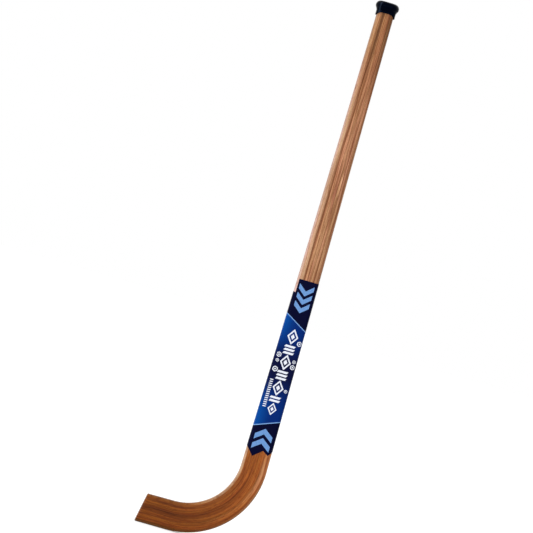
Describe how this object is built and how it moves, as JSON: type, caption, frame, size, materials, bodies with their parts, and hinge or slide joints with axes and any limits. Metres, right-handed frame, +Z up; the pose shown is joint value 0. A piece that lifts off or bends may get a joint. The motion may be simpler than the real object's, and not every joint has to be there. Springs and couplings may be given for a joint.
{
  "type": "roller hockey stick",
  "caption": "Straight laminated wooden stick with a quarter-circle bent blade, a push-on rubber butt cap and printed film round the lower shaft.",
  "frame": {"origin": "middle of the upper hand's grip, on the shaft's axis, 110 mm below the wood's butt end", "axes": "+Z up the shaft to the butt, -X from the shaft towards the toe of the blade, -Y out of the striking face"},
  "size_m": [0.1822, 0.0304, 0.9099],
  "materials": {
    "inner_wood": "satin varnish over pale straight-grained wood",
    "core_wood_dark": "satin varnish over brown straight-grained wood",
    "core_wood_light": "satin varnish over lighter brown straight-grained wood",
    "outer_wood": "satin varnish over golden brown wood",
    "sole_wood": "satin varnish over dark red-brown wood",
    "cap_rubber": "smooth moulded black rubber",
    "printed_film": "printed navy and royal blue vinyl with pale blue and white shapes"
  },
  "bodies": {
    "stick": {"inner_ply": "inner_wood", "core_ply_1": "core_wood_dark", "core_ply_2": "core_wood_light", "core_ply_3": "core_wood_dark", "outer_ply": "outer_wood", "sole_strip": "sole_wood", "front_film": "printed_film", "back_film": "printed_film"},
    "cap": {"butt_cap": "cap_rubber"}
  },
  "joints": [
    {"name": "cap_pull", "type": "slide", "parent": "stick", "child": "cap", "axis": [0, 0, 1], "range_m": [0, 0.025]}
  ]
}
